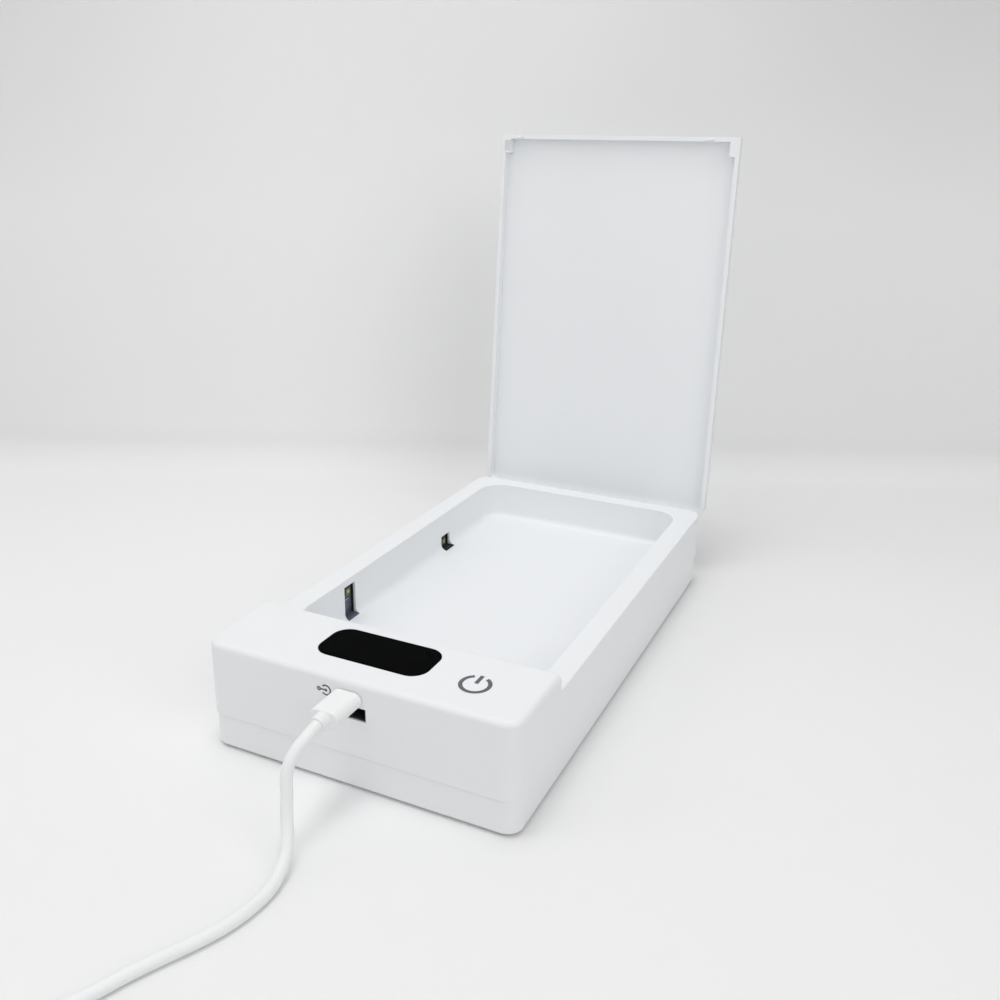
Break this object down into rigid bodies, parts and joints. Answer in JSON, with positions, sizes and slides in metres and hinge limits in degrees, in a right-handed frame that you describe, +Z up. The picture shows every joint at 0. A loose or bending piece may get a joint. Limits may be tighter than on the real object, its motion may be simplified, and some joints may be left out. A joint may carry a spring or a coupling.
{
  "type": "uv sanitizer box for phones",
  "caption": "Low box with a hinged lid and a rounded chamber for a phone, lamp slots in its walls, a display window and touch key on the front deck, and a power cable.",
  "frame": {"origin": "middle of the footprint that the box covers with its lid open, on the surface that it stands on", "axes": "+X to the right of someone at the front deck, +Y from the front deck to the hinge, +Z up"},
  "size_m": [0.1392, 0.4343, 0.2067],
  "materials": {
    "white_shell": "satin moulded, very fine grain",
    "window_black": "polished, smoked black",
    "display_dark": "matte",
    "print_grey": "printed",
    "pad_rubber": "soft conductive foam",
    "foot_rubber": "matte grey",
    "steel": "zinc plated",
    "magnet_nickel": "nickel plated",
    "socket_metal": "satin plated",
    "board_green": "solder mask",
    "chip_black": "moulded",
    "lamp_board": "dark solder mask",
    "lamp_amber": "lens over a phosphor tint",
    "lead_black": "extruded",
    "insert_black": "moulded",
    "plug_white": "satin overmould",
    "cable_white": "satin extruded jacket"
  },
  "bodies": {
    "base": {"upper_housing": "white_shell", "bottom_cover": "white_shell", "cover_screws": "steel", "board_screws": "steel", "hinge_pins": "steel", "rubber_feet": "foot_rubber", "display_window": "window_black", "display_module": "display_dark", "touch_key_symbol": "print_grey", "power_in_mark": "print_grey", "touch_pad": "pad_rubber", "main_board": "board_green", "board_chips": "chip_black", "buzzer": "chip_black", "lid_sensor": "chip_black", "lamp_board_left": "lamp_board", "lamp_board_right": "lamp_board", "uv_lamps_left": "lamp_amber", "uv_lamps_right": "lamp_amber", "slot_liners_left": "insert_black", "slot_liners_right": "insert_black", "lamp_lead_left": "lead_black", "lamp_lead_right": "lead_black", "power_socket": "socket_metal", "slot_insert": "insert_black", "plug_body": "plug_white", "strain_relief": "plug_white", "plug_tip": "socket_metal", "cable_run": "cable_white", "cable_coil": "cable_white", "cable_tail": "cable_white", "far_plug_neck": "plug_white", "far_plug_body": "plug_white", "far_plug_shell": "socket_metal", "far_plug_tongue": "insert_black"},
    "lid": {"lid_shell": "white_shell", "lid_magnet": "magnet_nickel"}
  },
  "joints": [
    {"name": "lid_hinge", "type": "hinge", "parent": "base", "child": "lid", "pos_m": [0, 0.09249, 0.0293], "axis": [1, 0, 0], "range_deg": [0, 95]}
  ]
}
